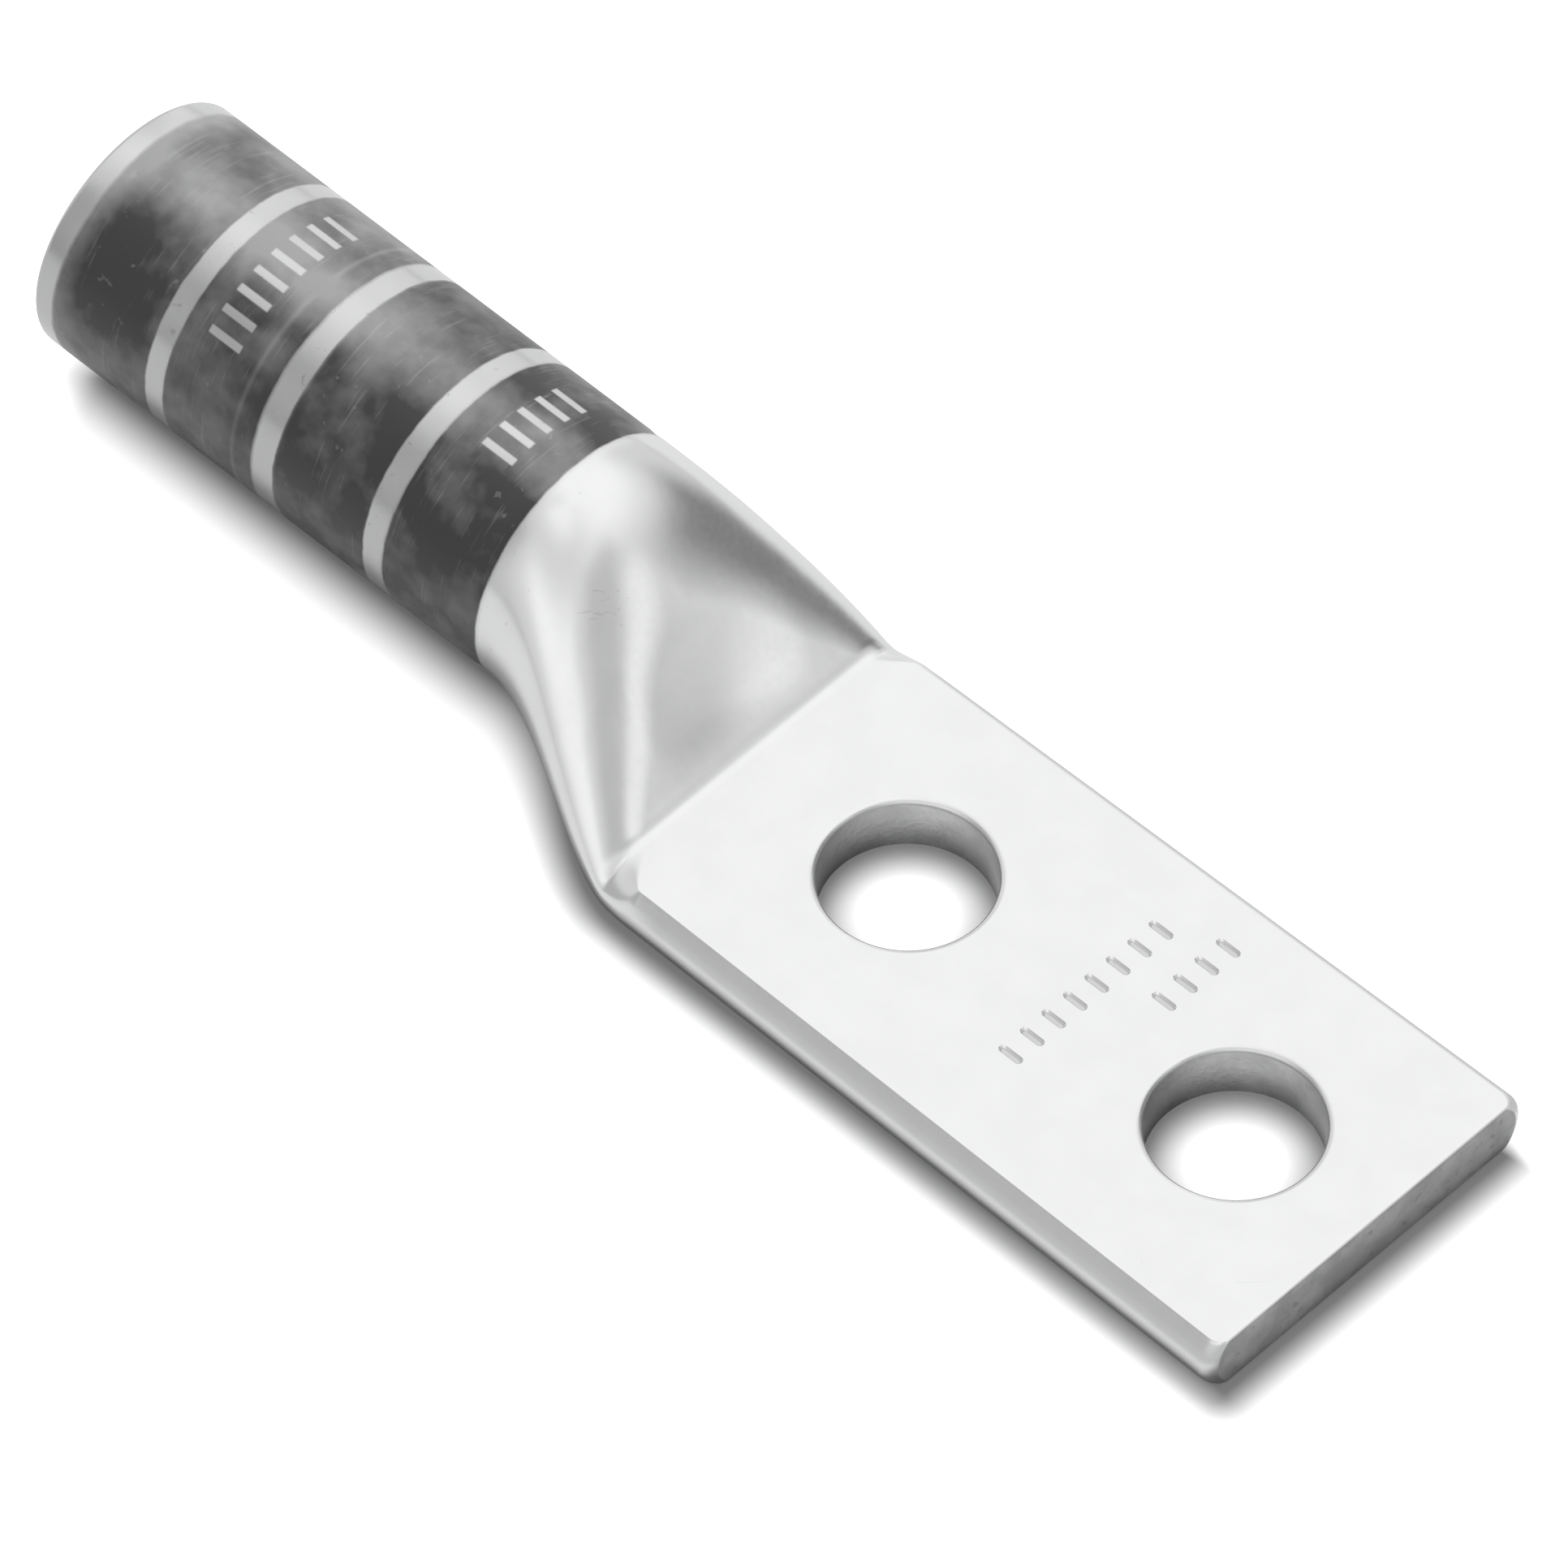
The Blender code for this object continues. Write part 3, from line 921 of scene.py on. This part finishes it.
def tin_shade(tree, place, x, angle):
    """How light the tin is: duller on the barrel, and darker low on its near flank, a painted
    shade.
    """
    on_barrel = ramp_between(tree, x, *BARREL_START)
    in_painted_shade = fading_below(tree, angle, ramp_between(tree, angle, *PAINTED_FLANK_SHADE))
    barrel = mixed(tree, in_painted_shade, TIN * BARREL_TIN, TIN * PAINTED_SHADE_TIN)
    shade = mixed(tree, on_barrel, TIN, barrel)
    clouds = use_group(tree, CLOUDS, Place=place, Size=TIN_CLOUD)
    shade = times(tree, shade, mixed(tree, clouds, CLOUDED_TIN, 1.0))
    share = ramp_between(tree, x, *SPECKS_BY_INK)
    specks = use_group(tree, SPECKS, Place=place, Size=TIN_SPECK, Share=share)
    shade = lowered(tree, shade, specks, SPECK_SHADE)
    here = times(tree, within(tree, x, *SCRATCHED_X), within(tree, angle, *SCRATCHED_ANGLE))
    share = times(tree, here, SCRATCHED_SHARE)
    scratches = use_group(tree, SCRATCHES, Place=place, Share=share)
    return lowered(tree, shade, scratches, SCRATCH_SHADE)


print("the tin's lightness is", TIN, "and on the barrel", round(TIN * BARREL_TIN, 3))

# %% Where the tin is dull
SCRAPED_FROM = (2.3, 2.8)
SCRAPED_TO = (3.74, 3.6)
SCRAPED_START = (-23.5, -20.5)
BORE_WALL = (BORE_RADIUS / MM + 0.6, BORE_RADIUS / MM + 0.1)


def scraped_edge(tree, x, z):
    """The narrow scraped band under the tongue's upper edges."""
    high = ramp_between(tree, z, *SCRAPED_FROM)
    below_top = ramp_between(tree, z, *SCRAPED_TO)
    on_tongue = ramp_between(tree, x, *SCRAPED_START)
    return times(tree, times(tree, high, below_top), on_tongue)


def bore_mask(tree, x, from_axis):
    """1 on the bore's wall, which is dull from the drawing of the tube, darker and less metallic.
    """
    deep = ramp_between(tree, from_axis, *BORE_WALL)
    return times(tree, deep, math_node(tree, "LESS_THAN", x, SHOULDER_X / MM))


print("the scraped band is", round(SCRAPED_TO[1] - SCRAPED_FROM[1], 2), "mm high")

# %% Where there is ink
SKIN_RADIUS = TUBE_RADIUS / MM - 0.2
WOBBLE = 0.16
WOBBLE_SCALE = 900.0
FLECK = 0.9 * MM
FLECK_SHARE = 0.28
INK_IN_FLECK = 0.86


def ink_mask(tree, place, x, angle, from_axis):
    """1 where there is ink: on the bands, less in a fleck, not on the bars or in the bore."""
    wobble = minus(tree, noise(tree, place, WOBBLE_SCALE), 0.5)
    bands = ink_bands(tree, math_node(tree, "MULTIPLY_ADD", wobble, WOBBLE, x))
    ink = times(tree, bands, math_node(tree, "GREATER_THAN", from_axis, SKIN_RADIUS))
    for row in BAR_ROWS:
        ink = times(tree, ink, minus(tree, 1.0, bare_bars(tree, x, angle, row)))
    flecks = use_group(tree, SPECKS, Place=place, Size=FLECK, Share=FLECK_SHARE)
    return lowered(tree, ink, flecks, INK_IN_FLECK)


print("the bands' edges wander by up to", WOBBLE / 2, "mm")

# %% Tin and ink in one material
SCRAPED_SHADE = 0.82
BORE_SHADE = 0.62
BORE_METAL = 0.4
TIN_ROUGHNESS = 0.155
DULL_ROUGHNESS = 0.36
INK_ROUGHNESS = 0.33
GRAIN_SCALE = 2600.0
GRAIN_SHARE = 0.10
WAVE_SCALE = 420.0


def lug_finish():
    material, tree, surface = new_finish("tin_and_ink")
    place, (x, y, z) = place_outputs(tree)
    from_axis, angle = round_the_axis(tree, y, z)
    ink = ink_mask(tree, place, x, angle, from_axis)
    scraped = scraped_edge(tree, x, z)
    bore = bore_mask(tree, x, from_axis)
    tin = lowered(tree, tin_shade(tree, place, x, angle), scraped, SCRAPED_SHADE)
    shade = mixed(tree, ink, tin, ink_shade(tree, place, x, angle))
    shade = lowered(tree, shade, bore, BORE_SHADE)
    tree.links.new(grey(tree, shade), surface.inputs["Base Color"])
    metal = lowered(tree, minus(tree, 1.0, ink), bore, BORE_METAL)
    tree.links.new(metal, surface.inputs["Metallic"])
    grain = noise(tree, place, GRAIN_SCALE, 3.0, 0.6)
    dull = math_node(tree, "MAXIMUM", scraped, bore)
    roughness = mixed(tree, dull, TIN_ROUGHNESS, DULL_ROUGHNESS)
    roughness = math_node(tree, "MULTIPLY_ADD", grain, GRAIN_SHARE, roughness)
    tree.links.new(mixed(tree, ink, roughness, INK_ROUGHNESS), surface.inputs["Roughness"])
    waves = noise(tree, place, WAVE_SCALE, 3.0, 0.5)
    heights = math_node(tree, "MULTIPLY_ADD", grain, GRAIN_SHARE, waves)
    bump_up(tree, surface, heights, depth=0.014 * MM, strength=0.6)
    print("the tin and the ink take", len(tree.nodes), "nodes")
    return material


tin_and_ink = lug_finish()

# %% [markdown]
# ## The sheared end and the punched holes
#
# The free end was cut by a shear and the holes by a punch. Such a cut tears the metal, so it is
# duller and darker than the plated skin, with a mottled grain. The node groups for clouds and
# specks serve here again, with other sizes. Each hole's wall is painted darker on one side and
# lighter on the other: painted shade and a painted reflection.

# %% Cut metal
# Where the walls' painted shade turns to painted reflection, and the shade at each end.
WALL_LIGHT_AND_SHADE = (-7.0, 1.5, 0.62, 1.1)
CUT_CLOUDS = (0.86, 1.08)
CUT_SPECK = 0.7 * MM
CUT_GRAIN = 0.12
CUT_GRAIN_SCALE = 3000.0


def painted_wall_shading(tree, x, y):
    """A hole's wall painted darker on one side and lighter on the other, as painted shade and
    reflection.
    """
    past_hole = minus(tree, math_node(tree, "ABSOLUTE", x), STUD_HOLES_X[1] / MM)
    past_hole = times(tree, past_hole, math_node(tree, "SIGN", x))
    return ramp_between(tree, add(tree, y, past_hole), *WALL_LIGHT_AND_SHADE)


def cut_finish(name, shade, roughness, cloud_size, speck_share, is_hole):
    """Sheared or punched metal of a certain lightness."""
    material, tree, surface = new_finish(name)
    place, (x, y, _) = place_outputs(tree)
    clouds = use_group(tree, CLOUDS, Place=place, Size=cloud_size)
    specks = use_group(tree, SPECKS, Place=place, Size=CUT_SPECK, Share=speck_share)
    mottled = lowered(tree, mixed(tree, clouds, *CUT_CLOUDS), specks, SPECK_SHADE)
    if is_hole:
        mottled = times(tree, mottled, painted_wall_shading(tree, x, y))
    tree.links.new(grey(tree, times(tree, mottled, shade)), surface.inputs["Base Color"])
    surface.inputs["Metallic"].default_value = 1.0
    grain = noise(tree, place, CUT_GRAIN_SCALE, 3.0, 0.6)
    grainy = math_node(tree, "MULTIPLY_ADD", grain, CUT_GRAIN, roughness - CUT_GRAIN / 2)
    tree.links.new(grainy, surface.inputs["Roughness"])
    bump_up(tree, surface, grain, depth=0.04 * MM, strength=0.7)
    print(name, "takes", len(tree.nodes), "nodes")
    return material


sheared_end = cut_finish("sheared_end", shade=0.55, roughness=0.7, cloud_size=1.6 * MM,
                         speck_share=0.45, is_hole=False)
punched_wall = cut_finish("punched_wall", shade=0.82, roughness=0.42, cloud_size=2.4 * MM,
                          speck_share=0.2, is_hole=True)

# %% [markdown]
# ## Give each face its finish
#
# The three finishes are the mesh's material slots. A face that looks straight out of the free end
# was sheared, and a face within a hole's radius was punched. All others keep the skin.

# %% Give each face its finish
SKIN, SHEARED, PUNCHED = range(3)
SLACK = 0.01 * MM


def finish_of(face):
    middle = face.center
    if face.normal.x > 0.98 and middle.x > FREE_END_X - SLACK:
        return SHEARED
    for hole_x in STUD_HOLES_X:
        if math.hypot(middle.x - hole_x, middle.y) < STUD_HOLE_RADIUS + SLACK:
            return PUNCHED
    return SKIN


lug.data.materials.clear()
for material in (tin_and_ink, sheared_end, punched_wall):
    lug.data.materials.append(material)
for face in lug.data.polygons:
    face.material_index = finish_of(face)
print("faces with the cut finishes:", sum(face.material_index > 0 for face in lug.data.polygons))
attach(lug, "root")
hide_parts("lug")

# %% [markdown]
# ## The floor
#
# The lug lies on white paper, close to a light table's evenness. The paper takes the lamp's soft
# shadow. Near the lug its own colour is also darker, a painted shadow. Towards the camera it also
# glows, and a little in reflections, but only from a short way off the lug, so that a narrow dark
# shadow, partly painted, stays where the metal meets the paper. The distance to the lug's
# footprint, a long box that is narrower under the barrel, steers that glow and the painted shadow.
# The paper lies a hair below the lug, because two faces in one plane would show through each
# other.

# %% Lay the paper
PAPER_GAP = 0.02 * MM
PAPER_RADIUS = 3.0

floor_body = bmesh.new()
bmesh.ops.create_circle(floor_body, cap_ends=True, segments=96, radius=PAPER_RADIUS)
bmesh.ops.translate(floor_body, verts=floor_body.verts[:], vec=(0, 0, -PAPER_GAP))
floor = new_object("floor", floor_body)

# %% Where the paper lies outside the painted shadow round the lug
FOOT_START = -73.2
FOOT_END = 23.3
FOOT_MIDDLE = (FOOT_START + FOOT_END) / 2
FOOT_HALF = (FOOT_END - FOOT_START) / 2
FOOT_BARREL = 3.5
FOOT_TONGUE = 11.5
FOOT_SHIFT = 0.5
NECK = (-40.5, -24.0)
GLOW_AT_BARREL = 4.5
GLOW_AT_TONGUE = 4.3
GLOW_IN_HOLE = 5.2
GLOW_STARTS = -1.1
FAR_SIDE = 3.0


def past(tree, value, middle, half):
    """How far a value lies beyond half a span on either side of its middle."""
    away = math_node(tree, "ABSOLUTE", minus(tree, value, middle))
    return math_node(tree, "MAXIMUM", minus(tree, away, half), 0.0)


def outside_painted_shadow(tree, x, y):
    """0 in the painted shadow where the lug touches the paper, rising to 1 a few millimetres away.
    """
    on_tongue = ramp_between(tree, x, *NECK)
    half = mixed(tree, on_tongue, FOOT_BARREL, FOOT_TONGUE)
    reach = mixed(tree, on_tongue, GLOW_AT_BARREL, GLOW_AT_TONGUE)
    past_side = past(tree, y, -FOOT_SHIFT, half)
    faster = mixed(tree, math_node(tree, "GREATER_THAN", y, 0.0), 1.0, FAR_SIDE)
    away = distance(tree, past(tree, x, FOOT_MIDDLE, FOOT_HALF), times(tree, past_side, faster))
    glow = ramp_between(tree, away, GLOW_STARTS, reach)
    for hole_x in STUD_HOLES_X:
        from_hole = distance(tree, minus(tree, x, hole_x / MM), y)
        inside = minus(tree, STUD_HOLE_RADIUS / MM, from_hole)
        in_hole = ramp_between(tree, inside, GLOW_STARTS, GLOW_IN_HOLE)
        glow = math_node(tree, "MAXIMUM", glow, in_hole)
    return glow


def kinds_of_ray(tree):
    """1 for a ray off or through something shiny, and 1 for a ray from the camera."""
    rays = tree.nodes.new("ShaderNodeLightPath").outputs
    mirrored = math_node(tree, "MAXIMUM", rays["Is Glossy Ray"], rays["Is Transmission Ray"])
    return mirrored, rays["Is Camera Ray"]


print("the footprint is", round(FOOT_END - FOOT_START, 1), "mm long")

# %% Make the paper white
PAPER = 0.75
SHADED_PAPER = 0.3
PAPER_ROUGHNESS = 0.9
GLOW_REFLECTED = 0.1

paper, tree, surface = new_finish("white_paper")
_, (x, y, _) = place_outputs(tree)
surface.inputs["Roughness"].default_value = PAPER_ROUGHNESS
surface.inputs["Specular IOR Level"].default_value = 0.0
surface.inputs["Emission Color"].default_value = (1, 1, 1, 1)
mirrored, seen = kinds_of_ray(tree)
outside_shadow = outside_painted_shadow(tree, x, y)
glow = math_node(tree, "MULTIPLY_ADD", mirrored, GLOW_REFLECTED, seen)
tree.links.new(times(tree, glow, outside_shadow), surface.inputs["Emission Strength"])
# The paper's own colour is darker near the lug: a painted shadow.
shade = mixed(tree, outside_shadow, PAPER * SHADED_PAPER, PAPER)
tree.links.new(grey(tree, shade), surface.inputs["Base Color"])
paper.cycles.emission_sampling = "NONE"
floor.data.materials.append(paper)
print("the paper is", round(floor.dimensions.x, 2), "m across")

# %% [markdown]
# ## The studio
#
# Polished metal shows the room, so the room is part of the finish. Here it is a plain grey space
# with eight soft-edged cards round the lug: a light roof, a light window, walls, and one black
# card for a dark streak. They are painted into the world by direction and only reflections see
# them. Each card is laid over the ones before it, like paper on a table. It has a place with soft
# ends round the lug and one upwards, both in degrees, and a brightness. Dull surfaces get an even,
# dim light from the world instead, and the camera sees pure white.

# %% Hang the cards
ROOM_GREY = 0.733
AMBIENT = 0.3

CARDS = {
    "roof over the far side": ((94, 94, 39), (76, 36, 14.5), 1.05),
    "roof over the near side": ((-79, 68.5, 30), (83.6, 15, 10), 1.03),
    "dark wall at the mouth": ((-131, 16.3, 4), (16.4, 34.4, 10.5), 0.47),
    "window on the near side": ((-66.5, 34.7, 9.65), (29, 13.8, 12.65), 1.04),
    "grey card past the free end": ((0.8, 16.2, 8.2), (25.8, 22, 7.15), 0.55),
    "narrow white card": ((19.3, 6.0, 3.75), (6.8, 22.8, 6.85), 1.06),
    "black card": ((59, 25, 16.8), (9.5, 14.4, 8.45), 0.21),
    "wall on the far side": ((122, 6.7, 8.35), (24.5, 26, 10), 1.02),
}


def hang(tree, room, azimuth, elevation, card):
    """Lay one card over the room's brightness."""
    (middle, half, soft), upright, brightness = card
    off = math_node(tree, "WRAP", minus(tree, azimuth, middle), 180.0, -180.0)
    mask = times(tree, within(tree, off, 0.0, half, soft), within(tree, elevation, *upright))
    return mixed(tree, mask, room, brightness)


print("cards:", list(CARDS))

# %% Paint the room
world = bpy.data.worlds.new("studio")
bpy.context.scene.world = world
world.use_nodes = True
tree = world.node_tree
background = tree.nodes["Background"]
split = tree.nodes.new("ShaderNodeSeparateXYZ")
tree.links.new(tree.nodes.new("ShaderNodeTexCoord").outputs["Generated"], split.inputs[0])
east, north, up = split.outputs
azimuth = math_node(tree, "DEGREES", math_node(tree, "ARCTAN2", north, east))
elevation = math_node(tree, "DEGREES", math_node(tree, "ARCSINE", up))
room = ROOM_GREY
for card in CARDS.values():
    room = hang(tree, room, azimuth, elevation, card)
mirrored, seen = kinds_of_ray(tree)
strength = mixed(tree, seen, mixed(tree, mirrored, AMBIENT, room), 1.0)
background.inputs["Color"].default_value = (1, 1, 1, 1)
tree.links.new(strength, background.inputs["Strength"])
print("the room takes", len(tree.nodes), "nodes")

# %% [markdown]
# ## The lamp
#
# One broad soft box hangs high behind the barrel. It gives the ink and the paper their light and
# the paper its shadow. The tin doesn't mirror it, because the roof cards stand for it there.

# %% Hang the soft box
LUG_MIDDLE = Vector((-22 * MM, 0, 4 * MM))


def soft_box(name, towards, away, size, brightness):
    """A square lamp that looks at the lug and lights a sheet that faces it so brightly."""
    light = bpy.data.lights.new(name, "AREA")
    light.shape = "SQUARE"
    light.size = size
    light.energy = brightness * (math.pi * away) ** 2
    lamp = bpy.data.objects.new(name, light)
    aim = Vector(towards).normalized()
    lamp.location = LUG_MIDDLE + aim * away
    lamp.rotation_euler = aim.to_track_quat("Z", "Y").to_euler()
    lamp.visible_glossy = False
    bpy.context.scene.collection.objects.link(lamp)
    return lamp


key = soft_box("key", towards=(-0.30, 0.275, 0.915), away=0.6, size=0.28, brightness=0.75)
print("the soft box hangs at", [round(value, 3) for value in key.location])

# %% [markdown]
# ## The camera
#
# A long lens from far away keeps parallel edges nearly parallel, as in a catalogue picture. The
# focal length is worked out from the size of the picture in pixels.

# %% Camera
CAMERA_AZIMUTH = math.radians(-46.034)
CAMERA_ELEVATION = math.radians(51.86)
CAMERA_DISTANCE = 1.5
CAMERA_TARGET = Vector((-22.2255 * MM, -0.1593 * MM, 3.8 * MM))
FOCAL_PIXELS = 32708
PICTURE_PIXELS = 1932
SENSOR_WIDTH = 36

camera_data = bpy.data.cameras.new("camera")
camera_data.sensor_width = SENSOR_WIDTH
camera_data.lens = FOCAL_PIXELS / PICTURE_PIXELS * SENSOR_WIDTH
camera_data.clip_start = 0.05
camera_data.clip_end = 20
camera = bpy.data.objects.new("camera", camera_data)
towards_camera = Vector((math.cos(CAMERA_ELEVATION) * math.cos(CAMERA_AZIMUTH),
                         math.cos(CAMERA_ELEVATION) * math.sin(CAMERA_AZIMUTH),
                         math.sin(CAMERA_ELEVATION)))
camera.location = CAMERA_TARGET + towards_camera * CAMERA_DISTANCE
camera.rotation_euler = (-towards_camera).to_track_quat("-Z", "Y").to_euler()
bpy.context.scene.collection.objects.link(camera)
bpy.context.scene.camera = camera
bpy.context.scene.view_settings.view_transform = "Standard"
print("the lens is", round(camera_data.lens), "mm")
